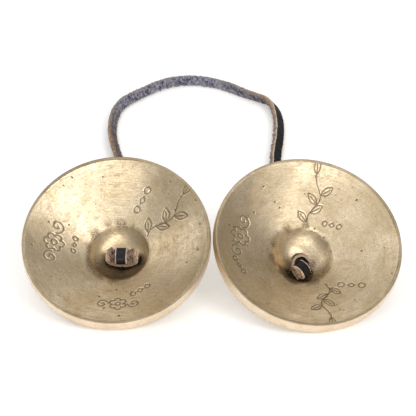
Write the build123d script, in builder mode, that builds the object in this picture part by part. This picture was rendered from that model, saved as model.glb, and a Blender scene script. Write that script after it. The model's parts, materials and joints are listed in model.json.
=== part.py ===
"""A pair of small hand cymbals (tingsha) on one leather strap, lying on a table, bowls up.

Millimetres, +Z up. The table is Z = 0 and the origin is under the middle of the pair.
Each cymbal is described in its own frame: r is the distance from its axis and z is
measured along the axis from the plane of its rim, so that the whole bowl has z below 0.
"""
from build123d import *
import os
from math import asin, atan2, cos, degrees, hypot, pi, radians, sin, sqrt, tan

os.makedirs("parts", exist_ok=True)

# Cymbal: a turned brass bowl with a thick rim and a hollow boss in the middle
face_radius = 32.5  # the sharp inner edge of the rim, where the bowl starts
rim_radius = 33.0  # the rim is barrelled, and this is its widest
corner_radius = 32.7  # the rim's lower corner
rim_height = 5.7
corner_round = 0.5
land_width = 1.0  # the flat ring round the top of the rim
bowl_sag = 0.7  # how far the bowl's slope is hollowed below a straight cone
lip_depth = 12.0  # where the bowl's slope drops into the boss
lip_round = 2.2
boss_centre = 3.6  # depth of the centre that both spheres of the boss share
boss_outer_radius = 16.0
boss_wall = 2.4
boss_root_radius = 12.8  # where the boss meets the outside of the bowl
boss_root_round = 4.0
hole_radius = 3.0
apex_depth = boss_centre + boss_outer_radius
boss_inner_radius = boss_outer_radius - boss_wall

# Strap: a leather thong, 4.4 wide and 2.2 thick, stood for by a round cord of the same section
thong_width = 4.4
thong_thickness = 2.2
strap_radius = sqrt(thong_width * thong_thickness / pi)
pivot_drop = 1.8  # the strap bends this far outside the top of the boss
pivot_depth = apex_depth + pivot_drop
running_gap = 0.3  # between pieces that move past each other
fold_gap = 0.1  # from the fold's plane to the end of each half of the strap
bend_share = 0.45  # part of the shorter run that a corner's arc takes up

# Knot: the rolled end of the strap, lying in the boss over the hole
knot_round = 1.2
knot_sizes = {"left": (10.8, 5.8), "right": (6.8, 9.4)}  # across and along
knot_turns = {"left": 0.0, "right": 34.0}
knot_shifts = {"left": (1.2, -0.3), "right": (-1.9, -4.0)}  # from the hole's axis
knot_top_depth = {"left": 12.2, "right": 10.2}

# Where the pair lies: each rim's near corner and each boss's strap touch the table
pivots = {"left": (-32.805, 9.62), "right": (31.245, 8.0)}
facings = {"left": -1.4, "right": 12.5}  # the way that each bowl leans, from -Y towards +X

# Strap's route on the table, from the left boss round to the right one
left_route = [
    pivots["left"],
    (-32.4, 35.0),
    (-32.6, 60.0),
    (-36.6, 82.0),
    (-43.4, 104.0),
    (-45.4, 122.0),
    (-43.0, 138.0),
    (-33.0, 151.5),
    (-22.5, 164.0),
    (-8.5, 166.8),
]
right_route = [
    (5.0, 161.2),
    (18.0, 147.3),
    (26.8, 140.8),
    (30.0, 125.0),
    (30.6, 108.0),
    (28.2, 90.0),
    (26.0, 66.0),
    (28.5, 36.0),
    pivots["right"],
]

# The lean at which the rounded corner and the strap's bend both lie on the table
corner_reach = corner_radius - corner_round
corner_drop = pivot_depth - rim_height + corner_round
lean = asin((strap_radius - corner_round) / hypot(corner_reach, corner_drop))
lean += atan2(corner_drop, corner_reach)


def seat(side):
    """The plane of a cymbal's rim, with its centre on the cymbal's axis."""
    facing = radians(facings[side])
    axis = Vector(sin(lean) * sin(facing), -sin(lean) * cos(facing), cos(lean))
    pivot = Vector(*pivots[side], strap_radius)
    level = Vector(cos(facing), sin(facing), 0)
    return Plane(origin=pivot + axis * pivot_depth, x_dir=level, z_dir=axis)


def section_plane(frame):
    """The plane through a cymbal's axis, where a sketch's x is r and its y is z."""
    return Plane(origin=frame.origin, x_dir=frame.x_dir, z_dir=-frame.y_dir)


def sphere_depth(sphere_radius, r):
    """How deep a sphere of the boss lies at the distance r from the axis."""
    return boss_centre + sqrt(sphere_radius**2 - r**2)


def corner_arcs(route):
    """The radius of the arc at each inner point of the route, as large as its runs allow."""
    radii = []
    for before, point, after in zip(route, route[1:], route[2:]):
        run_in = Vector(*point) - Vector(*before)
        run_out = Vector(*after) - Vector(*point)
        half_turn = radians(run_in.get_angle(run_out)) / 2
        radii.append(bend_share * min(run_in.length, run_out.length) / tan(half_turn))
    return radii


def make_cymbal(side):
    frame = seat(side)
    lip_radius = sqrt(boss_inner_radius**2 - (lip_depth - boss_centre) ** 2)
    root_depth = sphere_depth(boss_outer_radius, boss_root_radius)
    slope_start = face_radius - land_width
    slope_middle = ((slope_start + lip_radius) / 2, -lip_depth / 2 - bowl_sag)
    back_run = corner_reach - boss_root_radius
    back_rise = root_depth - rim_height + corner_round
    back_slope = atan2(back_rise, back_run) - asin(corner_round / hypot(back_run, back_rise))
    corner_start = (
        corner_reach + corner_round * sin(back_slope),
        -rim_height + corner_round * (1 - cos(back_slope)),
    )
    corner_middle = (
        corner_reach + corner_round * sin((back_slope + pi / 2) / 2),
        -rim_height + corner_round * (1 - cos((back_slope + pi / 2) / 2)),
    )
    corner_end = (corner_radius, -rim_height + corner_round)
    arc_share = 0.72  # a point on each sphere between its two ends
    with BuildPart() as cymbal:
        with BuildSketch(section_plane(frame)) as section:
            with BuildLine():
                ThreePointArc(corner_start, corner_middle, corner_end)
                ThreePointArc(corner_end, (rim_radius, -rim_height / 2), (face_radius, 0))
                Line((face_radius, 0), (slope_start, 0))
                ThreePointArc((slope_start, 0), slope_middle, (lip_radius, -lip_depth))
                inner = arc_share * lip_radius
                ThreePointArc(
                    (lip_radius, -lip_depth),
                    (inner, -sphere_depth(boss_inner_radius, inner)),
                    (hole_radius, -sphere_depth(boss_inner_radius, hole_radius)),
                )
                Line(
                    (hole_radius, -sphere_depth(boss_inner_radius, hole_radius)),
                    (hole_radius, -sphere_depth(boss_outer_radius, hole_radius)),
                )
                outer = arc_share * boss_root_radius
                ThreePointArc(
                    (hole_radius, -sphere_depth(boss_outer_radius, hole_radius)),
                    (outer, -sphere_depth(boss_outer_radius, outer)),
                    (boss_root_radius, -root_depth),
                )
                Line((boss_root_radius, -root_depth), corner_start)
            make_face()
            corners = section.vertices()
            fillet(corners.sort_by_distance((lip_radius, -lip_depth))[0], lip_round)
            fillet(corners.sort_by_distance((boss_root_radius, -root_depth))[0], boss_root_round)
        revolve(axis=Axis(frame.origin, frame.z_dir))
    cymbal.part.label = "cymbal_" + side
    return cymbal.part


def make_knot(side):
    rim = seat(side)
    turned = rim.x_dir.rotate(Axis(rim.origin, rim.z_dir), knot_turns[side])
    shift_x, shift_y = knot_shifts[side]
    middle = rim.origin + rim.x_dir * shift_x + rim.y_dir * shift_y
    frame = Plane(origin=middle, x_dir=turned, z_dir=rim.z_dir)
    across, along = knot_sizes[side]
    top = knot_top_depth[side]
    floor_radius = boss_inner_radius - running_gap
    stub_end = pivot_depth - strap_radius - running_gap
    with BuildPart() as knot:
        with BuildSketch(frame.offset(-boss_centre - floor_radius)):
            RectangleRounded(across, along, knot_round * 1.6)
        extrude(amount=boss_centre + floor_radius - top)
        fillet(knot.faces().sort_by(Axis(frame.origin, frame.z_dir))[-1].edges(), knot_round)
        with Locations(rim.offset(-boss_centre)):
            Sphere(floor_radius, mode=Mode.INTERSECT)
        with BuildSketch(rim.offset(-stub_end)):
            Circle(strap_radius)
        extrude(amount=stub_end - top - knot_round)
    knot.part.label = "knot_" + side
    return knot.part


def make_strap(side, points, radii):
    """One half of the strap, rounded at its pivot and cut square at the fold."""
    with BuildPart() as strap:
        with BuildLine() as path:
            FilletPolyline(*[(x, y, strap_radius) for x, y in points], radius=radii)
        with BuildSketch(Plane(origin=path.line @ 0, z_dir=path.line % 0)):
            Circle(strap_radius)
        sweep(path=path.line)
        tube = strap.part.volume
        with Locations((*pivots[side], strap_radius)):
            Sphere(strap_radius)
    strap.part.label = "strap_" + side
    length = sum(edge.length for edge in path.edges())
    ratio = tube / (pi * strap_radius**2 * length)
    print(f"strap_{side}: {length:.1f} mm long, volume over section times length {ratio:.4f}")
    return strap.part


route = left_route + right_route
arcs = corner_arcs(route)
fold = (Vector(*left_route[-1]) + Vector(*right_route[0])) / 2
across_fold = (Vector(*right_route[0]) - Vector(*left_route[-1])).normalized()
left_end = fold - across_fold * fold_gap
right_start = fold + across_fold * fold_gap
left_points = left_route + [(left_end.X, left_end.Y)]
right_points = [(right_start.X, right_start.Y)] + right_route
strap_left = make_strap("left", left_points, arcs[: len(left_route) - 1])
strap_right = make_strap("right", right_points, arcs[len(left_route) - 1 :])

pieces = [strap_left, strap_right]
for side in ("left", "right"):
    pieces += [make_cymbal(side), make_knot(side)]
for piece in pieces:
    export_step(piece, f"parts/{piece.label}.step")

# What the motion needs to know: the fold's axis is upright, on the outer side of the strap
fold_axis = fold + Vector(-across_fold.Y, across_fold.X) * strap_radius
print("arc radii, mm:", [round(radius, 1) for radius in arcs])
print(f"fold axis at {fold_axis.X:.3f}, {fold_axis.Y:.3f}; lean {degrees(lean):.3f} degrees")
for side in ("left", "right"):
    rim = seat(side)
    print(side, "rim centre", tuple(rim.origin), "axis", tuple(rim.z_dir))
    print(side, "pivot", (*pivots[side], round(strap_radius, 4)))
pair = Compound(children=[piece for piece in pieces if piece.label.startswith("cymbal")])
print("the pair's box", pair.bounding_box())
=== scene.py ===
import json
import math

import bpy
import numpy as np
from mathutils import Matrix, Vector


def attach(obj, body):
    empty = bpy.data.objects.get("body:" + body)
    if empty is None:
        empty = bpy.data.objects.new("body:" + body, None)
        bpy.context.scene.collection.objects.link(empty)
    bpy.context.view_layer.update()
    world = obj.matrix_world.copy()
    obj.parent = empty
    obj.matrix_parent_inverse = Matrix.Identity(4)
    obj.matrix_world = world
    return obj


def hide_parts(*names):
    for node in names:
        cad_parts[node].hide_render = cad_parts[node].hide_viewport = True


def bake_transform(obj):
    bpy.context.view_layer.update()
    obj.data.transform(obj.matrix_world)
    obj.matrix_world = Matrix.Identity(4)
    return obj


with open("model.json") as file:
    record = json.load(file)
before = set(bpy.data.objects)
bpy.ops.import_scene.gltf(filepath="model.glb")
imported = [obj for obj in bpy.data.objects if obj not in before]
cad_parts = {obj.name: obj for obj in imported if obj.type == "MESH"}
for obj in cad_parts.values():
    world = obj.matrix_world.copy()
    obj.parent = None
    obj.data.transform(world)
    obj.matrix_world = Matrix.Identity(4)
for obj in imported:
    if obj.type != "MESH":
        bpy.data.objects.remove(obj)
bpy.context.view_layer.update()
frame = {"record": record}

MM = 0.001
JOINTS = {joint["name"]: joint for joint in frame["record"]["behaviour"]["joints"]}

# The camera stands in front of the pair and looks down along +Y
CAMERA_PLACE = (-1.3, -308.6, 222.6)
CAMERA_DOWN = 31.75  # degrees
CAMERA_LENS = 92.4
SENSOR = 36.0

# Cymbal sizes, which are those of the CAD part: distances from the axis and depths under the rim
FACE_RADIUS = 32.5
RIM_RADIUS = 33.0
CORNER_RADIUS = 32.7
RIM_HEIGHT = 5.7
CORNER_ROUND = 0.5
LAND_WIDTH = 1.0
BOWL_SAG = 0.7
LIP_DEPTH = 12.0
BOSS_CENTRE = 3.6
BOSS_OUTER = 16.0
BOSS_INNER = 13.6
BOSS_ROOT = 12.8
HOLE_RADIUS = 3.0
PIVOT_DEPTH = BOSS_CENTRE + BOSS_OUTER + 1.8
FACINGS = {"left": -1.4, "right": 12.5}
AROUND = 640  # points round each ring of a cymbal
LIP_REACH = 11.5  # the recess lies inside this and the engraving outside it

# The strap: a thong as wide and thick as this, whose middle line follows these points
THONG_WIDTH = 4.4
THONG_THICKNESS = 2.2
STRAP_ROUTE = [
    (-32.4, 35.0),
    (-33.6, 60.0),
    (-38.0, 82.0),
    (-43.4, 104.0),
    (-44.6, 122.0),
    (-42.2, 139.0),
    (-32.4, 151.1),
    (-21.5, 162.4),
    (-8.5, 165.5),
    (5.4, 160.5),
    (18.6, 147.6),
    (28.4, 141.2),
    (30.9, 124.5),
    (30.2, 108.0),
    (27.7, 90.0),
    (26.0, 66.0),
    (28.5, 36.0),
]
ROUTE_INSIDE = (7.0, 3.2)  # how far up each hole the route's first two points lie
ROUTE_BEND = 0.2  # how far below its joint the strap's bend is drawn
ROUTE_BEHIND = (3.4, 11.0)  # how far behind each bend the next two points lie
ROUTE_LEVEL = THONG_THICKNESS / 2 + 0.1  # the height of the points under each bowl
STRAP_STEP = 0.35  # between one section of the thong and the next
STRAP_RISE = 0.42  # room under the thong for its uneven surface
END_LENGTH = 14.0  # each end piece reaches this far behind its bend
HAIR_SIDES = 3
HAIR_RINGS = 4
HAIR_RADIUS = (0.050, 0.115)
HAIR_LENGTH = (0.40, 1.30)
HAIRS_TRIED = 3  # at each edge of each section
HAIRS_LEFT_OUT = 0.40  # share of those tried
LONG_HAIRS = 0.08  # share that are half as long again
LOWEST_HAIR = 0.03  # no hair reaches below this height

# How far the thong has turned from lying suede side up: share of its length, degrees
STRAP_ROLL = [
    (0.0, 0.0),
    (0.06, 4.0),
    (0.20, 44.0),
    (0.25, 54.0),
    (0.36, 66.0),
    (0.44, 82.0),
    (0.52, 86.0),
    (0.57, 100.0),
    (0.605, 118.0),
    (0.635, 138.0),
    (0.67, 147.0),
    (0.76, 148.0),
    (0.85, 158.0),
    (0.96, 178.0),
    (1.0, 180.0),
]

# How brown the suede and edges are: share of the length, and 0 for slate to 1 for brown
STRAP_BROWN = [
    (0.0, 1.0),
    (0.29, 0.95),
    (0.33, 0.60),
    (0.37, 0.10),
    (0.55, 0.05),
    (0.59, 0.5),
    (0.62, 0.9),
    (1.0, 1.0),
]

# Soft boxes: name, place, width and height, watts, colour
LIGHTS = [
    ("front_left", (-330, -360, 640), (380, 380), 0.45, (1.0, 0.985, 0.96)),
    ("front_right", (430, -390, 620), (340, 340), 1.9, (1.0, 0.985, 0.96)),
    ("side_left", (-560, 80, 560), (300, 400), 0.80, (1.0, 0.985, 0.965)),
    ("front", (70, -700, 330), (520, 240), 2.0, (1.0, 0.99, 0.97)),
    ("overhead", (-40, 160, 950), (900, 900), 1.9, (1.0, 0.985, 0.965)),
    ("back", (60, 760, 560), (900, 300), 0.8, (1.0, 0.99, 0.98)),
]
LIGHTS_AIM = (0, 20, 10)
ROOM_LIGHT = 0.43
ROOM_COLOUR = (1.0, 0.985, 0.965, 1.0)
TABLE_TONE = 0.90
TABLE_GLOW = 0.24  # the photo's surface is near white, with faint shadows
TABLE_REACH = 2500.0


def body_axis(name):
    """A joint's place and axis in millimetres, as numpy vectors."""
    joint = JOINTS[name]
    return np.array(joint["pos_m"]) / MM, np.array(joint["axis"], float)


def cymbal_frame(side):
    """The rim's centre and the cymbal's own x, y and z directions."""
    pivot, axis = body_axis(side + "_spin")
    facing = math.radians(FACINGS[side])
    level = np.array([math.cos(facing), math.sin(facing), 0.0])
    level -= axis * (level @ axis)
    level /= np.linalg.norm(level)
    return pivot + axis * PIVOT_DEPTH, level, np.cross(axis, level), axis


# ---------------------------------------------------------------- nodes for materials


class Nodes:
    """A short way to write a material's nodes."""

    def __init__(self, name):
        self.material = bpy.data.materials.new(name)
        self.material.use_nodes = True
        self.tree = self.material.node_tree
        self.shader = self.tree.nodes["Principled BSDF"]

    def put(self, socket, value):
        if isinstance(value, bpy.types.NodeSocket):
            self.tree.links.new(value, socket)
        elif hasattr(socket.default_value, "__len__") and not hasattr(value, "__len__"):
            socket.default_value = [value] * len(socket.default_value)
        else:
            socket.default_value = value

    def node(self, kind, settings=None, **inputs):
        node = self.tree.nodes.new(kind)
        for key, value in (settings or {}).items():
            setattr(node, key, value)
        for key, value in inputs.items():
            self.put(node.inputs[key.replace("_", " ")], value)
        return node

    def attribute(self, name, output="Fac"):
        return self.node("ShaderNodeAttribute", {"attribute_name": name}).outputs[output]

    def math(self, operation, first, second, clamp=False):
        node = self.node("ShaderNodeMath", {"operation": operation, "use_clamp": clamp})
        for socket, value in zip(node.inputs, (first, second)):
            self.put(socket, value)
        return node.outputs[0]

    def vector_math(self, operation, first, second=(0, 0, 0), output=0):
        node = self.node("ShaderNodeVectorMath", {"operation": operation})
        self.put(node.inputs[0], first)
        if operation == "SCALE":
            self.put(node.inputs["Scale"], second)
        else:
            self.put(node.inputs[1], second)
        return node.outputs[output]

    def scaled(self, vector, scale, turn=(0, 0, 0)):
        node = self.node("ShaderNodeMapping")
        self.put(node.inputs["Vector"], vector)
        node.inputs["Scale"].default_value = scale
        node.inputs["Rotation"].default_value = turn
        return node.outputs[0]

    def noise(self, vector, scale, detail=3.0, roughness=0.5, distortion=0.0):
        node = self.node(
            "ShaderNodeTexNoise",
            Scale=scale,
            Detail=detail,
            Roughness=roughness,
            Distortion=distortion,
        )
        self.put(node.inputs["Vector"], vector)
        return node.outputs["Fac"]

    def cells(self, vector, scale, feature="F1"):
        node = self.node("ShaderNodeTexVoronoi", {"feature": feature}, Scale=scale)
        self.put(node.inputs["Vector"], vector)
        return node.outputs["Distance"]

    def ramp(self, value, low, high, to_low=0.0, to_high=1.0):
        node = self.node("ShaderNodeMapRange", {"interpolation_type": "SMOOTHSTEP"})
        for socket, number in zip(node.inputs, (value, low, high, to_low, to_high)):
            self.put(socket, number)
        return node.outputs[0]

    def mix(self, factor, first, second, blend="MIX"):
        node = self.node("ShaderNodeMix", {"data_type": "RGBA", "blend_type": blend})
        self.put(node.inputs[0], factor)
        for socket, colour in ((node.inputs[6], first), (node.inputs[7], second)):
            self.put(socket, colour if not isinstance(colour, tuple) else (*colour, 1.0))
        return node.outputs[2]

    def bump(self, height, strength, distance, normal=None):
        node = self.node("ShaderNodeBump", Strength=strength, Distance=distance)
        self.put(node.inputs["Height"], height)
        if normal is not None:
            self.put(node.inputs["Normal"], normal)
        return node.outputs[0]

    def finish(self, **sockets):
        for key, value in sockets.items():
            socket = self.shader.inputs[key.replace("_", " ")]
            if isinstance(value, tuple) and len(value) == 3:
                value = (*value, 1.0)
            self.put(socket, value)
        return self.material


# Sets of fine scratches in the brass: direction in radians, and how short they are
SCRATCHES = ((0.75, 0.12), (0.95, 0.10), (-0.15, 0.13), (2.35, 0.09), (1.60, 0.11), (0.60, 0.08))


def brass_material(name, pale, deep, stain, rough, anisotropy):
    """Turned and hand-rubbed brass: rings from the lathe, scratches, blotches and pits, and painted
    shade from the mesh's attributes.
    """
    n = Nodes(name)
    place = n.attribute("place", "Vector")
    groove = n.attribute("groove")
    pit = n.attribute("pit")
    soot = n.attribute("soot")
    flat = n.vector_math("MULTIPLY", place, (1, 1, 0))
    reach = n.vector_math("LENGTH", flat, output="Value")
    direction = n.vector_math("NORMALIZE", flat)
    rings = 0.0
    for round_scale, out_scale, share in ((2.6, 1.7, 0.55), (4.5, 5.5, 0.45)):
        along = n.vector_math("SCALE", direction, round_scale)
        outward = n.node("ShaderNodeCombineXYZ", Z=n.math("MULTIPLY", reach, out_scale)).outputs[0]
        ring = n.noise(n.vector_math("ADD", along, outward), 1.0, 3.0, 0.6)
        rings = n.math("ADD", rings, n.math("MULTIPLY", ring, share))
    blotches = n.noise(place, 0.09, 4.0, 0.55, 0.6)
    mottle = n.noise(place, 0.50, 5.0, 0.62)
    speckle = n.noise(place, 2.6, 3.0, 0.6)
    scratches = 0.0
    for turn, short in SCRATCHES:
        streaks = n.noise(n.scaled(place, (short, 2.3, 2.3), (0, 0, -turn)), 1.0, 2.0, 0.5)
        scratches = n.math("MAXIMUM", scratches, n.ramp(streaks, 0.62, 0.72))
    colour = n.mix(n.ramp(blotches, 0.35, 0.68), pale, deep)
    colour = n.mix(n.ramp(mottle, 0.50, 0.85, 0.0, 0.5), colour, stain)
    colour = n.mix(n.ramp(rings, 0.42, 0.66, 0.0, 0.26), colour, stain)
    colour = n.mix(n.ramp(speckle, 0.48, 0.70, 0.0, 0.60), colour, stain)
    colour = n.mix(n.math("MULTIPLY", scratches, 0.42), colour, stain)
    spots = n.cells(n.vector_math("ADD", place, (3.1, 7.7, 1.3)), 0.42)
    spots = n.math("MULTIPLY", n.ramp(spots, 0.12, 0.04), n.ramp(speckle, 0.50, 0.62))
    soot = n.math("MULTIPLY", soot, n.ramp(speckle, 0.40, 0.58, 0.45, 1.0))
    # Darkened together: engraved lines, pits, patina spots and lip patina, and painted shade in the
    # recess and along the land
    cut = n.math("MAXIMUM", n.ramp(groove, 0.30, 0.90, 0.0, 0.8), pit)
    dark = n.math("MAXIMUM", cut, n.math("MAXIMUM", spots, soot))
    colour = n.mix(n.math("MULTIPLY", dark, 0.88), colour, (0.095, 0.066, 0.038))
    # The painted shadow is near black where it is deepest, round the knots
    colour = n.mix(n.ramp(soot, 0.70, 1.1, 0.0, 0.85), colour, (0.014, 0.010, 0.008))
    roughness = n.ramp(mottle, 0.3, 0.8, rough - 0.05, rough + 0.12)
    roughness = n.math("ADD", roughness, n.ramp(rings, 0.3, 0.8, -0.03, 0.05))
    roughness = n.math("ADD", roughness, n.math("MULTIPLY", dark, 0.22))
    height = n.math("MULTIPLY", rings, 0.65)
    height = n.math("ADD", height, n.math("MULTIPLY", scratches, -0.45))
    height = n.math("ADD", height, n.math("MULTIPLY", speckle, 0.55))
    relief = n.bump(height, 0.32, 0.00008)
    relief = n.bump(mottle, 0.14, 0.0004, relief)
    turning = n.node(
        "ShaderNodeVectorTransform",
        {"vector_type": "VECTOR", "convert_from": "OBJECT", "convert_to": "WORLD"},
        Vector=n.attribute("turning", "Vector"),
    ).outputs[0]
    return n.finish(
        Base_Color=colour,
        Metallic=1.0,
        Roughness=roughness,
        Normal=relief,
        Anisotropic=anisotropy,
        Tangent=turning,
    )


def grain_material(name, shine, rough):
    """The finished side of the thong: black, pebbled and creased, and rubbed at its corners."""
    n = Nodes(name)
    place = n.attribute("place", "Vector")
    pebbles = n.cells(place, 3.4, "SMOOTH_F1")
    creases = n.noise(n.scaled(place, (2.6, 0.8, 0.8)), 1.0, 4.0, 0.6, 0.5)
    wear = n.noise(place, 0.9, 5.0, 0.7)
    colour = n.mix(n.ramp(wear, 0.42, 0.78), (0.004, 0.003, 0.005), (0.018, 0.014, 0.017))
    colour = n.mix(n.ramp(n.attribute("rub"), 0.55, 1.0, 0.0, 0.75), colour, (0.17, 0.11, 0.075))
    height = n.math("ADD", n.math("MULTIPLY", pebbles, 0.6), n.math("MULTIPLY", creases, 0.9))
    return n.finish(
        Base_Color=colour,
        Roughness=n.ramp(wear, 0.3, 0.8, rough, rough + 0.17),
        Specular_IOR_Level=shine,
        Normal=n.bump(height, 0.55, 0.00016),
    )


def suede_material(name):
    """The flesh side of the thong: slate grey nap, mottled, and browner towards both ends."""
    n = Nodes(name)
    place = n.attribute("place", "Vector")
    nap = n.noise(place, 4.5, 5.0, 0.75)
    mottle = n.noise(place, 0.75, 6.0, 0.72, 0.5)
    patches = n.noise(place, 0.22, 3.0, 0.6)
    raised = n.ramp(nap, 0.50, 0.72, 0.0, 0.35)
    shade = n.math("ADD", n.ramp(mottle, 0.42, 0.62), raised, clamp=True)
    slate = n.mix(shade, (0.026, 0.026, 0.048), (0.350, 0.345, 0.440))
    brown = n.mix(shade, (0.024, 0.014, 0.013), (0.165, 0.115, 0.098))
    uneven = n.ramp(patches, 0.35, 0.7, -0.2, 0.2)
    brown_share = n.math("ADD", n.attribute("brown"), uneven, clamp=True)
    colour = n.mix(brown_share, slate, brown)
    slate_share = n.math("SUBTRACT", 1.0, brown_share)
    pale = n.math("MULTIPLY", n.ramp(patches, 0.50, 0.70, 0.0, 0.45), slate_share)
    colour = n.mix(pale, colour, (0.52, 0.51, 0.56))
    return n.finish(
        Base_Color=colour,
        Roughness=0.95,
        Sheen_Weight=0.12,
        Sheen_Roughness=0.5,
        Normal=n.bump(n.math("ADD", nap, mottle), 0.9, 0.0004),
    )


def rolled_material(name):
    """The flesh side inside the rolled ends, handled brown, with painted shade in its folds."""
    n = Nodes(name)
    place = n.attribute("place", "Vector")
    nap = n.noise(place, 3.2, 4.0, 0.7)
    folds = n.noise(n.scaled(place, (1.1, 0.6, 0.8)), 1.0, 2.0, 0.5, 0.8)
    colour = n.mix(n.ramp(nap, 0.35, 0.65), (0.150, 0.075, 0.045), (0.480, 0.360, 0.270))
    # Painted shade, near black, in the folds
    colour = n.mix(n.ramp(folds, 0.50, 0.57, 0.0, 0.95), colour, (0.045, 0.015, 0.010))
    relief = n.bump(n.math("ADD", nap, folds), 0.9, 0.0004)
    return n.finish(Base_Color=colour, Roughness=0.9, Normal=relief)


def edge_material(name):
    """The thong's cut edges: raw tan leather, fibrous, greyed along the loop's top, with a painted
    highlight along the grain side's arris.
    """
    n = Nodes(name)
    place = n.attribute("place", "Vector")
    fibres = n.noise(place, 3.4, 5.0, 0.75)
    soil = n.noise(place, 0.6, 4.0, 0.6)
    grey = n.mix(n.ramp(fibres, 0.30, 0.72), (0.200, 0.195, 0.205), (0.600, 0.590, 0.610))
    tan = n.mix(n.ramp(fibres, 0.32, 0.66), (0.190, 0.095, 0.045), (0.560, 0.370, 0.210))
    tan_share = n.math("ADD", n.attribute("brown"), n.ramp(soil, 0.35, 0.7, -0.2, 0.25), clamp=True)
    colour = n.mix(tan_share, grey, tan)
    layer = n.attribute("layer")
    # A painted highlight: a pale line along the arris on the grain side
    arris_highlight = n.mix(tan_share, (0.620, 0.620, 0.660), (0.680, 0.560, 0.440))
    nap_side = n.mix(tan_share, (0.130, 0.120, 0.140), (0.120, 0.070, 0.042))
    colour = n.mix(n.ramp(layer, -0.45, -0.85, 0.0, 0.75), colour, arris_highlight)
    colour = n.mix(n.ramp(layer, 0.0, 0.9, 0.0, 0.45), colour, nap_side)
    colour = n.mix(n.ramp(soil, 0.50, 0.72, 0.0, 0.65), colour, (0.110, 0.086, 0.080))
    return n.finish(
        Base_Color=colour,
        Roughness=0.9,
        Sheen_Weight=0.25,
        Normal=n.bump(fibres, 0.8, 0.0003),
    )


def fibre_material(name):
    """The loose hairs along the cut edges."""
    n = Nodes(name)
    tone = n.noise(n.attribute("place", "Vector"), 1.6, 2.0)
    colour = n.mix(n.ramp(tone, 0.38, 0.62), (0.090, 0.070, 0.068), (0.420, 0.330, 0.260))
    return n.finish(Base_Color=colour, Roughness=0.8)


# ---------------------------------------------------------------- meshes from arrays


def mesh_object(name, points, faces, attributes=None, materials=(), material_index=None):
    """A smooth-shaded mesh from points in millimetres, with its own attributes."""
    mesh = bpy.data.meshes.new(name)
    points = np.asarray(points, float)
    if isinstance(faces, np.ndarray):
        mesh.vertices.add(len(points))
        mesh.vertices.foreach_set("co", (points * MM).astype(np.float32).ravel())
        mesh.loops.add(faces.size)
        mesh.loops.foreach_set("vertex_index", faces.astype(np.int32).ravel())
        mesh.polygons.add(len(faces))
        starts = np.arange(0, faces.size, faces.shape[1], dtype=np.int32)
        mesh.polygons.foreach_set("loop_start", starts)
    else:
        mesh.from_pydata([tuple(p) for p in points * MM], [], faces)
    mesh.update(calc_edges=True)
    mesh.validate()
    for key, values in (attributes or {}).items():
        values = np.asarray(values, np.float32)
        kind = "FLOAT_VECTOR" if values.ndim == 2 else "FLOAT"
        layer = mesh.attributes.new(key, kind, "POINT")
        layer.data.foreach_set("vector" if values.ndim == 2 else "value", values.ravel())
    for material in materials:
        mesh.materials.append(material)
    if material_index is not None:
        mesh.polygons.foreach_set("material_index", np.asarray(material_index, np.int32))
    mesh.polygons.foreach_set("use_smooth", np.ones(len(mesh.polygons), bool))
    thing = bpy.data.objects.new(name, mesh)
    bpy.context.collection.objects.link(thing)
    return thing


def grid_faces(rows, columns, close_rows=False):
    """Quads over a grid of points stored row by row, each row being closed."""
    down = rows if close_rows else rows - 1
    i, j = np.meshgrid(np.arange(down), np.arange(columns), indexing="ij")
    i, j = i.ravel(), j.ravel()
    i2, j2 = (i + 1) % rows, (j + 1) % columns
    return np.stack([i * columns + j, i * columns + j2, i2 * columns + j2, i2 * columns + j], 1)


def smooth_random(seed, count, shortest, longest):
    """A function of x and y made of a few long waves in random directions, about -1 to 1."""
    rng = np.random.default_rng(seed)
    turns = rng.uniform(0, 2 * math.pi, count)
    lengths = rng.uniform(shortest, longest, count)
    phases = rng.uniform(0, 2 * math.pi, count)

    def height(x, y):
        total = np.zeros_like(x)
        for turn, length, phase in zip(turns, lengths, phases):
            across = x * math.cos(turn) + y * math.sin(turn)
            total += np.sin(2 * math.pi * across / length + phase)
        return total / math.sqrt(count)

    return height


# ---------------------------------------------------------------- camera


def make_camera():
    camera = bpy.data.objects.new("camera", bpy.data.cameras.new("camera"))
    bpy.context.collection.objects.link(camera)
    camera.location = Vector(CAMERA_PLACE) * MM
    camera.rotation_euler = (math.radians(90 - CAMERA_DOWN), 0, 0)
    camera.data.lens = CAMERA_LENS
    camera.data.sensor_width = SENSOR
    camera.data.clip_start = 0.01
    bpy.context.scene.camera = camera


# ---------------------------------------------------------------- strap


def strap_points():
    """The whole middle line's control points, from inside one boss to inside the other."""
    points = []
    for side in ("left", "right"):
        pivot, axis = body_axis(side + "_spin")
        toward = np.array([*STRAP_ROUTE[0 if side == "left" else -1], 0.0]) - pivot
        toward[2] = 0
        toward /= np.linalg.norm(toward)
        inside = [pivot + axis * reach for reach in ROUTE_INSIDE]
        lying = [pivot - axis * ROUTE_BEND] + [pivot + toward * reach for reach in ROUTE_BEHIND]
        for point in lying:
            point[2] = ROUTE_LEVEL
        end = inside + lying
        points.append(end if side == "left" else end[::-1])
    seen = [np.array([x, y, THONG_THICKNESS / 2]) for x, y in STRAP_ROUTE]
    return points[0] + seen + points[1]


def spline_line(points):
    """The points along a NURBS spline, as Blender's own curve gives them, in millimetres."""
    curve = bpy.data.curves.new("route", "CURVE")
    curve.dimensions = "3D"
    spline = curve.splines.new("NURBS")
    spline.points.add(len(points) - 1)
    for control, point in zip(spline.points, points):
        control.co = (*(np.array(point) * MM), 1.0)
    spline.order_u = 3
    spline.use_endpoint_u = True
    spline.resolution_u = 200
    carrier = bpy.data.objects.new("route", curve)
    bpy.context.collection.objects.link(carrier)
    bpy.context.view_layer.update()
    mesh = bpy.data.meshes.new_from_object(carrier)
    line = np.array([tuple(v.co) for v in mesh.vertices]) / MM
    bpy.data.objects.remove(carrier)
    bpy.data.meshes.remove(mesh)
    keep = np.r_[True, np.linalg.norm(np.diff(line, axis=0), axis=1) > 1e-6]
    return line[keep]


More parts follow.
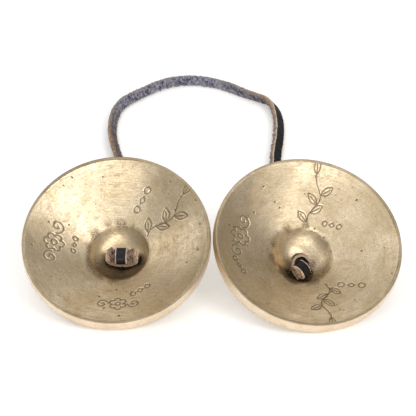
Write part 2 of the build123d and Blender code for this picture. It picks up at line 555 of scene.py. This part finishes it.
def even_points(line, step):
    """Those of the line's points that are about a step apart, and how far along it each one is."""
    lengths = np.r_[0, np.cumsum(np.linalg.norm(np.diff(line, axis=0), axis=1))]
    wanted = np.linspace(0, lengths[-1], int(round(lengths[-1] / step)) + 1)
    chosen = np.unique(np.clip(np.searchsorted(lengths, wanted), 0, len(line) - 1))
    return line[chosen], lengths[chosen]


def thong_frames(line, roll):
    """The line's direction, the way its suede faces and its width's direction, at each point."""
    tangent = np.gradient(line, axis=0)
    tangent /= np.linalg.norm(tangent, axis=1)[:, None]
    up = np.array([0, 0, 1.0]) - tangent * tangent[:, 2:3]
    up /= np.linalg.norm(up, axis=1)[:, None]
    side = np.cross(tangent, up)
    c, s = np.cos(roll)[:, None], np.sin(roll)[:, None]
    suede = up * c + side * s
    return tangent, suede, np.cross(tangent, suede)


def thong_outline():
    """Points round the section, across and through it from -1 to 1, and each stretch's surface."""
    points, surfaces = [], []
    wide, thick, corner = 11, 5, 0.14
    for x in np.linspace(-1 + corner, 1 - corner, wide):
        points.append((x, 1.0))
        surfaces.append("suede")
    for y in np.linspace(0.80, -0.72, thick):
        points.append((1.0, y))
        surfaces.append("edge")
    for x in np.linspace(1 - corner, -1 + corner, wide):
        points.append((x, -1.0))
        surfaces.append("grain")
    for y in np.linspace(-0.72, 0.80, thick):
        points.append((-1.0, y))
        surfaces.append("edge")
    surfaces[wide - 1] = surfaces[2 * wide + thick - 1] = "edge"
    return np.array(points), surfaces


SURFACES = ("suede", "grain", "edge")


def thong_mesh(name, line, at, frames, materials, width, thickness, seed, brown):
    """A flat thong along line: its faces, its ragged edges and its softly uneven section."""
    _, suede, across = frames
    outline, surfaces = thong_outline()
    waves = [smooth_random(seed + k, 6, 2.5, 26.0) for k in range(2)]
    rows, columns = len(line), len(outline)
    u = np.repeat(at[:, None], columns, 1)
    x = np.repeat(outline[None, :, 0], rows, 0)
    y = np.repeat(outline[None, :, 1], rows, 0)
    half_width = width / 2 * (1 + 0.045 * waves[0](u, np.sign(x) * 40.0) + 0.06 * y)
    half_thick = thickness / 2 * (1 + 0.06 * waves[1](u, x * 3.0))
    ragged = np.where(np.abs(x) > 0.99, 1.0, 0.0)
    tufts = smooth_random(seed + 11, 14, 0.8, 3.2)(u, y * 1.5 + np.sign(x) * 9)
    # The edges fray most on the suede's side
    fray = 0.36 * np.sign(tufts) * np.abs(tufts) ** 1.3 * np.clip(0.6 + 0.5 * y, 0.12, 1.0)
    nap = smooth_random(seed + 12, 14, 0.5, 2.4)(u, x * width / 2)
    nap = np.where(y > 0.9, 0.09 * nap + 0.16 * np.abs(x) ** 4 * np.clip(nap, -0.5, 2), 0.0)
    points = (
        line[:, None, :]
        + across[:, None, :] * (x * half_width + np.sign(x) * ragged * fray)[..., None]
        + suede[:, None, :] * (y * half_thick + nap)[..., None]
    )
    points = points.reshape(-1, 3)
    place = np.stack([u, x * width / 2, y * thickness / 2], -1).reshape(-1, 3)
    faces = [tuple(f) for f in grid_faces(rows, columns)]
    index = [SURFACES.index(surfaces[k % columns]) for k in range(len(faces))]
    faces.append(tuple(range(columns)))
    faces.append(tuple(reversed(range((rows - 1) * columns, rows * columns))))
    index += [SURFACES.index("edge")] * 2
    attributes = {
        "place": place + seed,
        "brown": brown(u).reshape(-1),
        "rub": np.clip(np.abs(x) ** 8, 0, 1).reshape(-1),
        "layer": y.reshape(-1),
    }
    return mesh_object(name, points, faces, attributes, materials, index)


def fibre_points(root, direction, bend, length, thickness):
    """The points of a short tapering hair, ring by ring."""
    side = np.cross(direction, bend)
    side /= np.linalg.norm(side) + 1e-9
    other = np.cross(direction, side)
    rings = []
    for k in range(HAIR_RINGS):
        t = k / (HAIR_RINGS - 1)
        centre = root + direction * length * t + bend * length * 0.55 * t * t
        radius = thickness * (1 - 0.82 * t)
        for turn in (0.0, 2.094, 4.189):
            rings.append(centre + (side * math.cos(turn) + other * math.sin(turn)) * radius)
    return rings


def fibres_mesh(name, roots, material, seed):
    """Hairs at roots, each given as (place, way out of the edge, length)."""
    rng = np.random.default_rng(seed)
    points, faces, place = [], [], []
    for root, way, length in roots:
        bend = rng.normal(0, 1, 3)
        bend -= way * (bend @ way)
        bend /= np.linalg.norm(bend) + 1e-9
        hair = fibre_points(root - way * 0.12, way, bend, length, rng.uniform(*HAIR_RADIUS))
        if min(p[2] for p in hair) < LOWEST_HAIR:
            continue
        base = len(points)
        points += hair
        place += [root + rng.uniform(0, 30)] * len(hair)
        for k in range(HAIR_RINGS - 1):
            for j in range(HAIR_SIDES):
                a = base + HAIR_SIDES * k + j
                b = base + HAIR_SIDES * k + (j + 1) % HAIR_SIDES
                faces.append((a, b, b + HAIR_SIDES, a + HAIR_SIDES))
        faces.append((base + 2, base + 1, base))
        faces.append(tuple(range(base + len(hair) - HAIR_SIDES, base + len(hair))))
    return mesh_object(name, points, faces, {"place": np.array(place)}, [material])


def make_strap(leather, hair):
    """The strap's pieces, its middle line, and where along it the loop starts and ends."""
    line, at = even_points(spline_line(strap_points()), STRAP_STEP)
    total = at[-1]
    # The suede faces up at the left cymbal, sideways along the loop's top and down at the right
    roll_at, roll_deg = np.array(STRAP_ROLL).T
    roll = np.radians(np.interp(at / total, roll_at, roll_deg))
    kernel = np.hanning(41) / np.hanning(41).sum()
    roll = np.convolve(np.pad(roll, 20, "edge"), kernel, "valid")
    # Behind the bowls the thong lies on the table, as high as its turned section needs
    _, suede, across = thong_frames(line, roll)
    height = np.abs(across[:, 2]) * THONG_WIDTH + np.abs(suede[:, 2]) * THONG_THICKNESS
    rise = height / 2 + STRAP_RISE
    left_pivot, _ = body_axis("left_spin")
    right_pivot, _ = body_axis("right_spin")
    on_table = (line[:, 1] > max(left_pivot[1], right_pivot[1]) + 2.5).astype(float)
    on_table = np.convolve(np.pad(on_table, 10, "edge"), np.ones(21) / 21, "valid")
    line[:, 2] = line[:, 2] * (1 - on_table) + rise * on_table
    frames = thong_frames(line, roll)
    tangent, suede, across = frames

    def brown(u):
        share, amount = np.array(STRAP_BROWN).T
        return np.interp(u / total, share, amount)

    first = int(np.argmax(line[:, 1] > left_pivot[1] + END_LENGTH))
    last = len(line) - 1 - int(np.argmax(line[::-1, 1] > right_pivot[1] + END_LENGTH))
    cuts = {
        "strap_left_end": slice(0, first + 1),
        "strap_loop": slice(first, last + 1),
        "strap_right_end": slice(last, len(line)),
    }
    made = {}
    for name, part in cuts.items():
        part_frames = tuple(f[part] for f in frames)
        made[name] = thong_mesh(
            name, line[part], at[part], part_frames, leather,
            THONG_WIDTH, THONG_THICKNESS, 5, brown,
        )
    rng = np.random.default_rng(21)
    roots = []
    for i in range(first + 4, last - 4):
        for side in (-1, 1):
            for _ in range(HAIRS_TRIED):
                if rng.random() < HAIRS_LEFT_OUT:
                    continue
                level = rng.uniform(-0.1, 1.0) * THONG_THICKNESS / 2
                root = line[i] + across[i] * side * THONG_WIDTH / 2 + suede[i] * level
                way = across[i] * side * 0.9 + suede[i] * rng.uniform(-0.1, 0.9)
                way += tangent[i] * rng.normal(0, 0.5)
                way /= np.linalg.norm(way)
                length = rng.uniform(*HAIR_LENGTH)
                roots.append((root, way, length * (1.5 if rng.random() < LONG_HAIRS else 1.0)))
    made["strap_hairs"] = fibres_mesh("strap_hairs", roots, hair, 22)
    return made, line, at, (first, last)


# ---------------------------------------------------------------- cymbals


# How the engraving, pits and unevenness of the brass are cut
LINE_HALF_WIDTH = 0.36
LINE_DEPTH = 0.15
BURR = (0.48, 0.14, 0.030)  # the raised edge of a cut: distance from its middle, width, height
WAVE_HEIGHTS = (0.125, 0.012)
PITS = 34
PIT_SIZES = (0.18, 0.42)
RIM_ROWS = 14  # sections from the face's edge to the rim's lower corner


def bezier(a, b, c, steps):
    t = np.linspace(0, 1, steps)[:, None]
    return (1 - t) ** 2 * a + 2 * t * (1 - t) * b + t**2 * c


def arc_through(a, b, c, steps):
    """Points on the circle through three points, from a to c."""
    a, b, c = (np.array(p, float) for p in (a, b, c))
    lines = np.array([b - a, c - a])
    centre = np.linalg.solve(lines, [(b @ b - a @ a) / 2, (c @ c - a @ a) / 2])
    angles = [math.atan2(*(p - centre)[::-1]) for p in (a, b, c)]
    while angles[1] - angles[0] > math.pi:
        angles[1] -= 2 * math.pi
    while angles[1] - angles[0] < -math.pi:
        angles[1] += 2 * math.pi
    while angles[2] - angles[1] > math.pi:
        angles[2] -= 2 * math.pi
    while angles[2] - angles[1] < -math.pi:
        angles[2] += 2 * math.pi
    radius = np.linalg.norm(a - centre)
    turn = np.linspace(angles[0], angles[2], steps)
    return centre + radius * np.stack([np.cos(turn), np.sin(turn)], 1)


def rounded(first, second, round_in, round_out, steps):
    """Two lines that meet at a corner, joined by a curve that starts and ends this far from it."""
    corner = first[-1]
    keep_first = first[np.linalg.norm(first - corner, axis=1) > round_in]
    keep_second = second[np.linalg.norm(second - corner, axis=1) > round_out]
    bend = bezier(keep_first[-1], corner, keep_second[0], steps)
    return np.concatenate([keep_first, bend[1:-1], keep_second])


def sphere_arc(radius, r_from, r_to, steps):
    start, end = math.asin(r_from / radius), math.asin(r_to / radius)
    turn = np.linspace(start, end, steps)
    return np.stack([radius * np.sin(turn), -BOSS_CENTRE - radius * np.cos(turn)], 1)


def cymbal_profile():
    """The section from the hole's top, out over the bowl and rim, and back to the hole's foot."""
    lip = (math.sqrt(BOSS_INNER**2 - (LIP_DEPTH - BOSS_CENTRE) ** 2), -LIP_DEPTH)
    start = (FACE_RADIUS - LAND_WIDTH, -0.26)
    middle = ((start[0] + lip[0]) / 2, -LIP_DEPTH / 2 - BOWL_SAG)
    recess = sphere_arc(BOSS_INNER, HOLE_RADIUS + 0.15, lip[0], 26)
    slope = arc_through(lip, middle, start, 92)
    inside = rounded(recess, slope, 1.0, 1.5, 10)
    land = np.array([[31.56, -0.235], [31.7, -0.19], [31.95, -0.12], [32.15, -0.07], [32.3, -0.04]])
    edge = np.array([[FACE_RADIUS - 0.08, -0.03], [FACE_RADIUS, -0.14]])
    widest = (RIM_RADIUS, -RIM_HEIGHT / 2)
    corner_start = (CORNER_RADIUS, -RIM_HEIGHT + CORNER_ROUND)
    rim = arc_through((FACE_RADIUS, -0.12), widest, corner_start, 10)[1:]
    turn = np.linspace(0, -70, 6)[1:] * math.pi / 180
    centre = np.array([CORNER_RADIUS - CORNER_ROUND, -RIM_HEIGHT + CORNER_ROUND])
    corner = centre + CORNER_ROUND * np.stack([np.cos(turn), np.sin(turn)], 1)
    root = np.array([BOSS_ROOT, -BOSS_CENTRE - math.sqrt(BOSS_OUTER**2 - BOSS_ROOT**2)])
    back = corner[-1] + np.linspace(0.02, 1, 22)[:, None] * (root - corner[-1])
    boss = sphere_arc(BOSS_OUTER, HOLE_RADIUS + 0.2, BOSS_ROOT, 24)[::-1]
    outside = rounded(back, boss, 1.3, 1.3, 6)
    foot = outside[-1] + np.array([-0.17, 0.2])
    top = inside[0] + np.array([-0.13, -0.15])
    wall = foot + np.linspace(0, 1, 5)[:, None] * (top - foot)
    return np.concatenate([inside, land, edge, rim, corner, outside, wall])


def circle(radius, x=0.0, y=0.0, steps=22):
    turn = np.linspace(0, 2 * math.pi, steps)
    return np.stack([x + radius * np.cos(turn), y + radius * np.sin(turn)], 1)


def leaf(length, width, x, y, turn):
    """A leaf's outline with its vein."""
    t = np.linspace(0, 1, 12)
    upper = np.stack([length * t, width / 2 * np.sin(math.pi * t) ** 0.8], 1)
    lower = upper[::-1] * (1, -1)
    vein = np.array([[0.15 * length, 0], [0.75 * length, 0]])
    c, s = math.cos(math.radians(turn)), math.sin(math.radians(turn))
    spin = np.array([[c, s], [-s, c]])
    return [np.concatenate([upper, lower]) @ spin + (x, y), vein @ spin + (x, y)]


def curl(radius, turns, x, y, turn):
    t = np.linspace(0, 1, 30)
    angle = math.radians(turn) + 2 * math.pi * turns * t
    reach = radius * (1 - 0.86 * t)
    return [np.stack([x + reach * np.cos(angle), y + reach * np.sin(angle)], 1)]


def flower(radius, petals):
    t = np.linspace(0, 2 * math.pi, 12 * petals + 1)
    reach = radius * (0.64 + 0.351 * np.abs(np.sin(petals * t / 2)) ** 0.7)
    outline = np.stack([reach * np.cos(t), reach * np.sin(t)], 1)
    return [outline, circle(radius * 0.28, steps=14)]


def sprig():
    """A bending stem, 15 long, with two leaves on each side and one at its end."""
    t = np.linspace(0, 1, 18)
    strokes = [np.stack([15 * t - 7.5, 1.3 * np.sin(2.6 * t * math.pi)], 1)]
    for share, side in ((0.16, 1), (0.33, -1), (0.52, 1), (0.70, -1)):
        at = strokes[0][int(share * 17)]
        strokes += leaf(3.9, 1.9, at[0], at[1] + 0.25 * side, 52 * side)
    return strokes + leaf(3.6, 1.8, 7.5, strokes[0][-1][1], 10)


def bloom():
    """A flower between two curls."""
    return flower(3.0, 6) + curl(2.2, 1.3, -5.4, 0.4, 0) + curl(2.2, 1.3, 5.4, -0.4, 180)


def beads():
    """Two rings with a lozenge between them."""
    lozenge = np.array([[-1.1, 0], [0, 0.8], [1.1, 0], [0, -0.8], [-1.1, 0]])
    return [circle(0.95, -3.0), circle(0.95, 3.0), lozenge]


# Where each cymbal's engraved motifs lie: motif, reach from the axis, bearing, own turn, size
MOTIFS = {
    "left": [
        (bloom, 22.2, 178, 88, 1.12),
        (beads, 15.6, 174, 86, 0.8),
        (sprig, 19.8, 34, 40, 1.22),
        (beads, 20.2, 68, 58, 1.15),
        (bloom, 22.8, -86, 6, 0.98),
        (beads, 18.4, -62, 34, 0.95),
    ],
    "right": [
        (sprig, 19.6, 66, 68, 1.18),
        (beads, 15.4, 36, -30, 0.85),
        (bloom, 23.2, 162, 72, 1.15),
        (beads, 25.4, 190, 112, 0.9),
        (sprig, 20.8, -84, -108, 1.12),
        (beads, 20.4, -52, -24, 1.1),
    ],
}


# The painted shadow in each recess, round its knot: centre and half sizes
KNOT_SHADOW_PATCHES = {"left": (1.2, -0.6, 5.4, 3.6), "right": (-1.9, -3.6, 4.0, 5.2)}


def engraving(side, x, y):
    """How far each point is from the middle of the nearest engraved line."""
    near = np.full(len(x), 9.0)  # too far to be cut
    rng = np.random.default_rng(31 if side == "left" else 32)
    for motif, reach, bearing, turn, size in MOTIFS[side]:
        c, s = math.cos(math.radians(turn)), math.sin(math.radians(turn))
        spin = np.array([[c, s], [-s, c]]) * size
        bearing = math.radians(bearing)
        centre = reach * np.array([math.cos(bearing), math.sin(bearing)])
        for stroke in motif():
            stroke = np.asarray(stroke) @ spin + centre
            stroke = stroke + rng.normal(0, 0.05, stroke.shape)
            low, high = stroke.min(0) - 1, stroke.max(0) + 1
            inside = (x > low[0]) & (x < high[0]) & (y > low[1]) & (y < high[1])
            close = np.flatnonzero(inside)
            p = np.stack([x[close], y[close]], 1)
            for a, b in zip(stroke, stroke[1:]):
                ab = b - a
                t = np.clip(((p - a) @ ab) / max(ab @ ab, 1e-9), 0, 1)
                away = np.linalg.norm(p - a - t[:, None] * ab, axis=1)
                near[close] = np.minimum(near[close], away)
    return near


def make_cymbal(side, brass, rim_brass_painted_reflection):
    """One cymbal as rings of points round its section, with its wear and painted shade as
    attributes.
    """
    origin, ax, ay, az = cymbal_frame(side)
    profile = cymbal_profile()
    seed = 41 if side == "left" else 42
    rng = np.random.default_rng(seed)
    turn = np.linspace(0, 2 * math.pi, AROUND, endpoint=False)
    r = np.repeat(profile[:, 0][:, None], AROUND, 1).ravel()
    z = np.repeat(profile[:, 1][:, None], AROUND, 1).ravel()
    angle = np.tile(turn, len(profile))
    x, y = r * np.cos(angle), r * np.sin(angle)
    row = np.repeat(np.arange(len(profile)), AROUND)
    rim_row = int(np.argmax(profile[:, 0] > FACE_RADIUS - 0.07))
    face_end = FACE_RADIUS - LAND_WIDTH - 0.2
    on_face = (row < rim_row) & (r < face_end) & (r > HOLE_RADIUS + 0.6)
    on_back = (row > rim_row + RIM_ROWS + 2) & (r > HOLE_RADIUS + 1.2) & (r < RIM_RADIUS - 1.5)
    # The bowl is softly uneven, and its edge is not
    fade = np.clip((face_end - r) / 3.0, 0, 1)
    waves = smooth_random(seed, 7, 13.0, 34.0)(x, y) * WAVE_HEIGHTS[0]
    waves += smooth_random(seed + 5, 8, 4.0, 9.0)(x, y) * WAVE_HEIGHTS[1]
    dip = np.where(on_face, waves * fade, 0.0)
    # Engraved lines, deeper at some strokes than at others, with a burr along each side
    groove = np.zeros(len(r))
    face_index = np.flatnonzero(on_face & (r > LIP_REACH))
    near = engraving(side, x[face_index], y[face_index])
    hit = 1 + 0.35 * smooth_random(seed + 9, 8, 0.9, 3.0)(x[face_index], y[face_index])
    cut = np.clip(1 - near / LINE_HALF_WIDTH, 0, 1)
    groove[face_index] = np.clip(cut * 1.25, 0, 1)
    burr_reach, burr_width, burr_height = BURR
    burr = np.exp(-(((near - burr_reach) / burr_width) ** 2))
    engraved = -LINE_DEPTH * np.sqrt(cut) * np.clip(hit, 0.4, 1.4)
    dip[face_index] += engraved + burr_height * burr
    # Pits left by the casting
    pit = np.zeros(len(r))
    for _ in range(PITS):
        reach, bearing = 31 * math.sqrt(rng.uniform(0.10, 1.0)), rng.uniform(0, 2 * math.pi)
        size = rng.uniform(*PIT_SIZES)
        away = np.hypot(x - reach * math.cos(bearing), y - reach * math.sin(bearing)) / size
        dent = np.clip(1 - away**2, 0, 1) * on_face
        dip -= dent * size * 0.5
        pit = np.maximum(pit, np.clip(dent * 1.6, 0, 1))
    # The rim's band is barely uneven, and its corners stay inside the CAD's
    on_rim = (row >= rim_row) & (row <= rim_row + RIM_ROWS)
    nick = smooth_random(seed + 3, 9, 5.0, 16.0)(angle * 32, z * 2) * 0.02
    r = r + np.where(on_rim, nick - 0.03, 0)
    z = z + dip + np.where(on_back, waves * 0.5, 0)
    # Painted shade: dark lines along the land's two edges, broken in places, and a darker land
    # between
    reach = profile[row, 0]
    land_shade = 0.60 * (reach > 31.54) * (row <= rim_row)
    land_edge_shade = 0.95 * np.exp(-(((reach - 32.40) / 0.20) ** 2)) * (row <= rim_row + 2)
    line_breaks = 0.65 + 0.35 * smooth_random(seed + 21, 5, 0.5, 2.5)(angle, angle * 0)
    land_inner_shade = 0.95 * line_breaks * np.exp(-(((reach - 31.52) / 0.10) ** 2)) * (row <= rim_row)
    groove = np.maximum.reduce([groove, land_edge_shade * (0.4 + 0.6 * line_breaks), land_inner_shade, land_shade])
    # Painted shade on the recess's floor and near side and a painted shadow round the knot; along
    # the lip, dark patina and a painted shade line
    in_recess = (row < rim_row) & (reach < LIP_REACH)
    recess_floor_shade = np.clip((7.0 - reach) / 2.5, 0, 1) * np.clip((2.5 - y) / 4, 0, 1) * 0.95
    soot = np.where(in_recess, recess_floor_shade, 0.0)
    near_wall_shade = np.clip((0.5 - y) / 6.0, 0, 1) * np.clip((10.8 - reach) / 1.5, 0, 1) * 0.60
    soot = np.maximum(soot, np.where(in_recess, near_wall_shade, 0.0))
    # A painted shadow round each knot, strongest on its near side
    knot_x, knot_y, wide, deep = KNOT_SHADOW_PATCHES[side]
    past_knot = np.hypot((x - knot_x) / wide, (y - knot_y) / deep)
    knot_shadow = np.clip((1.55 - past_knot) / 0.35, 0, 1) * np.clip((knot_y + 2.5 - y) / 3, 0, 1)
    soot = np.maximum(soot, np.where(in_recess, knot_shadow * 1.3, 0.0))
    lip_unevenness = np.clip(0.6 + 0.8 * smooth_random(seed + 22, 6, 3.0, 9.0)(x, y), 0, 1)
    lip_patina = 0.80 * np.exp(-(((reach - 11.4) / 1.5) ** 2)) * (row < rim_row) * (x < 5)
    # A painted shade line along the lip's edge
    lip_shade_line = 0.85 * np.exp(-(((reach - 10.5) / 0.22) ** 2)) * (row < rim_row)
    soot = np.maximum(soot, np.maximum(lip_patina, lip_shade_line) * lip_unevenness)
    x, y = r * np.cos(angle), r * np.sin(angle)
    points = origin + x[:, None] * ax + y[:, None] * ay + z[:, None] * az
    turning = -np.sin(angle)[:, None] * ax + np.cos(angle)[:, None] * ay
    faces = grid_faces(len(profile), AROUND, close_rows=True)[:, ::-1]
    # Each cymbal takes its blotches from another part of the pattern
    place = np.stack([x, y, z], 1) + (0 if side == "left" else 97.0) * np.array([0, 0, 1.0])
    wear = {"place": place, "groove": groove, "pit": pit, "soot": soot, "turning": turning}
    brasses = [brass, rim_brass_painted_reflection]
    thing = mesh_object(f"{side}_cymbal", points, faces, wear, brasses, on_rim.astype(int))
    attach(thing, f"cymbal_{side}")
    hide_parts(f"cymbal_{side}")


# ---------------------------------------------------------------- knots


def local_line(side, points, turn, depth, shift):
    """A knot's points, given as x, y and height over a depth under the rim, in the shared frame."""
    origin, ax, ay, az = cymbal_frame(side)
    c, s = math.cos(math.radians(turn)), math.sin(math.radians(turn))
    points = np.asarray(points, float)
    x = points[:, 0] * c - points[:, 1] * s + shift[0]
    y = points[:, 0] * s + points[:, 1] * c + shift[1]
    z = points[:, 2] - depth
    return origin + x[:, None] * ax + y[:, None] * ay + z[:, None] * az


def strip(name, side, path, width_way, leather, size, seed, turn, shift, brown, suede_out):
    """A short length of thong along path, in a knot's frame, with its width along width_way."""
    line = local_line(side, path, turn, BOSS_CENTRE + BOSS_INNER, shift)
    line, at = even_points(spline_line(line), 0.22)
    tangent = np.gradient(line, axis=0)
    tangent /= np.linalg.norm(tangent, axis=1)[:, None]
    base = local_line(side, [width_way, (0, 0, 0)], turn, 0.0, (0, 0))
    across = base[0] - base[1]
    across = across - tangent * (tangent @ across)[:, None]
    across /= np.linalg.norm(across, axis=1)[:, None]
    suede = np.cross(across, tangent) * (1 if suede_out else -1)
    across = np.cross(tangent, suede)
    frames = (tangent, suede, across)
    return thong_mesh(
        name, line, at, frames, leather, *size, seed, lambda u: np.full_like(u, brown)
    )


def make_knots(leather):
    """Each knot's strips. A strip's size is its width and thickness."""
    # Left: the end is folded into a cradle across the hole, and the strap loops over it
    cradle = [(-5.0, 4.9), (-4.6, 2.9), (-2.7, 1.45), (0, 1.1), (2.7, 1.6), (4.4, 2.9), (4.9, 4.4)]
    fold = [(-4.3, 5.0), (-3.6, 3.5), (-2.0, 2.7), (0.2, 2.6), (2.3, 2.9), (3.7, 3.7), (4.3, 4.9)]
    loop = [(2.0, 1.0), (2.8, 2.3), (2.2, 4.1), (-0.2, 4.7), (-2.1, 4.1), (-2.7, 2.8), (-2.1, 1.7)]
    left = [
        strip(
            "left_knot_cradle", "left", [(x, 0, h) for x, h in cradle], (0, 1, 0), leather,
            size=(4.8, 1.5), seed=61, turn=0, shift=(1.2, -1.15), brown=1.0, suede_out=False,
        ),
        strip(
            "left_knot_fold", "left", [(x, 0, h) for x, h in fold], (0, 1, 0), leather,
            size=(3.0, 1.1), seed=62, turn=0, shift=(1.2, 0.3), brown=1.0, suede_out=False,
        ),
        strip(
            "left_knot_loop", "left", [(0, y, h) for y, h in loop], (1, 0, 0), leather,
            size=(4.2, 1.2), seed=63, turn=0, shift=(0.75, -0.3), brown=0.9, suede_out=True,
        ),
    ]
    # Right: the end is rolled up flat, and the roll leans so that its spiral end shows
    t = np.linspace(0, 1, 31)
    angle = -2.1 * 2 * math.pi * t - 1.1
    reach, thick = 3.6 - 3.1 * t**0.85, 2.0 - 1.75 * t**0.85
    long_way, end_way, up = (
        np.array(way)
        for way in ((0.951, 0, -0.309), (-0.091, 0.955, -0.281), (0.295, 0.295, 0.909))
    )
    spiral = np.outer(reach * np.cos(angle) + 0.3 * t, long_way)
    spiral = spiral + np.outer(thick * np.sin(angle), up) + (0, 0, 4.9)
    # Its outer turn comes up out of the hole behind the roll, edge on
    collar = [
        (-5.0, -4.6, 4.2),
        (-4.6, -2.8, 4.5),
        (-3.4, -1.1, 4.6),
        (-1.3, -0.3, 4.5),
        (0.8, -0.9, 4.3),
        (1.8, -2.8, 3.9),
    ]
    right = [
        strip(
            "right_knot_roll", "right", spiral, end_way, leather,
            size=(4.8, 0.66), seed=64, turn=-56, shift=(-1.7, -5.8), brown=1.0, suede_out=True,
        ),
        strip(
            "right_knot_turn", "right", collar, (0, 0, 1), leather,
            size=(3.4, 0.9), seed=65, turn=0, shift=(0, 0), brown=1.0, suede_out=True,
        ),
    ]
    return {"left": left, "right": right}


# ---------------------------------------------------------------- stage


def make_stage():
    n = Nodes("table")
    n.finish(
        Base_Color=(TABLE_TONE,) * 3,
        Roughness=0.9,
        Emission_Color=(1.0, 1.0, 1.0),
        Emission_Strength=TABLE_GLOW,
    )
    size = TABLE_REACH
    corners = [(-size, -size, 0), (size, -size, 0), (size, size, 0), (-size, size, 0)]
    mesh_object("table", corners, [(0, 1, 2, 3)], {}, [n.material])
    world = bpy.data.worlds.new("studio")
    bpy.context.scene.world = world
    world.use_nodes = True
    background = world.node_tree.nodes["Background"]
    background.inputs["Color"].default_value = ROOM_COLOUR
    background.inputs["Strength"].default_value = ROOM_LIGHT
    for name, place, (wide, high), power, colour in LIGHTS:
        light = bpy.data.lights.new(name, "AREA")
        light.shape = "RECTANGLE"
        light.size, light.size_y = wide * MM, high * MM
        light.energy = power
        light.color = colour
        lamp = bpy.data.objects.new(name, light)
        bpy.context.collection.objects.link(lamp)
        lamp.location = Vector(place) * MM
        ahead = Vector(LIGHTS_AIM) * MM - lamp.location
        lamp.rotation_euler = ahead.to_track_quat("-Z", "Y").to_euler()
    bpy.context.scene.view_settings.view_transform = "Standard"


# ---------------------------------------------------------------- the whole object

make_camera()
edge = edge_material("cut_edge")
leather = [suede_material("suede"), grain_material("black_grain", 0.15, 0.48), edge]
rolled = [rolled_material("rolled_suede"), grain_material("rubbed_grain", 0.30, 0.28), edge]
strap, strap_line, strap_at, (first, last) = make_strap(leather, fibre_material("hairs"))
brass = brass_material(
    "brass",
    pale=(0.70, 0.585, 0.42),
    deep=(0.58, 0.465, 0.30),
    stain=(0.34, 0.255, 0.155),
    rough=0.38,
    anisotropy=0.62,
)
# The rim's band is a paler copy of the brass: painted reflection of the pale table
rim_brass_painted_reflection = brass_material(
    "rim_painted_reflection",
    pale=(0.86, 0.73, 0.57),
    deep=(0.78, 0.64, 0.47),
    stain=(0.58, 0.45, 0.30),
    rough=0.34,
    anisotropy=0.3,
)
for side in ("left", "right"):
    make_cymbal(side, brass, rim_brass_painted_reflection)
knots = make_knots(rolled)
for side in ("left", "right"):
    for piece in knots[side]:
        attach(piece, f"knot_{side}")
    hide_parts(f"knot_{side}")

for name in ("strap_loop", "strap_hairs"):
    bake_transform(strap[name])
# Each end bends from inside the hole to the table behind it
for side in ("left", "right"):
    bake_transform(strap[f"strap_{side}_end"])
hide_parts("strap_left", "strap_right")
make_stage()
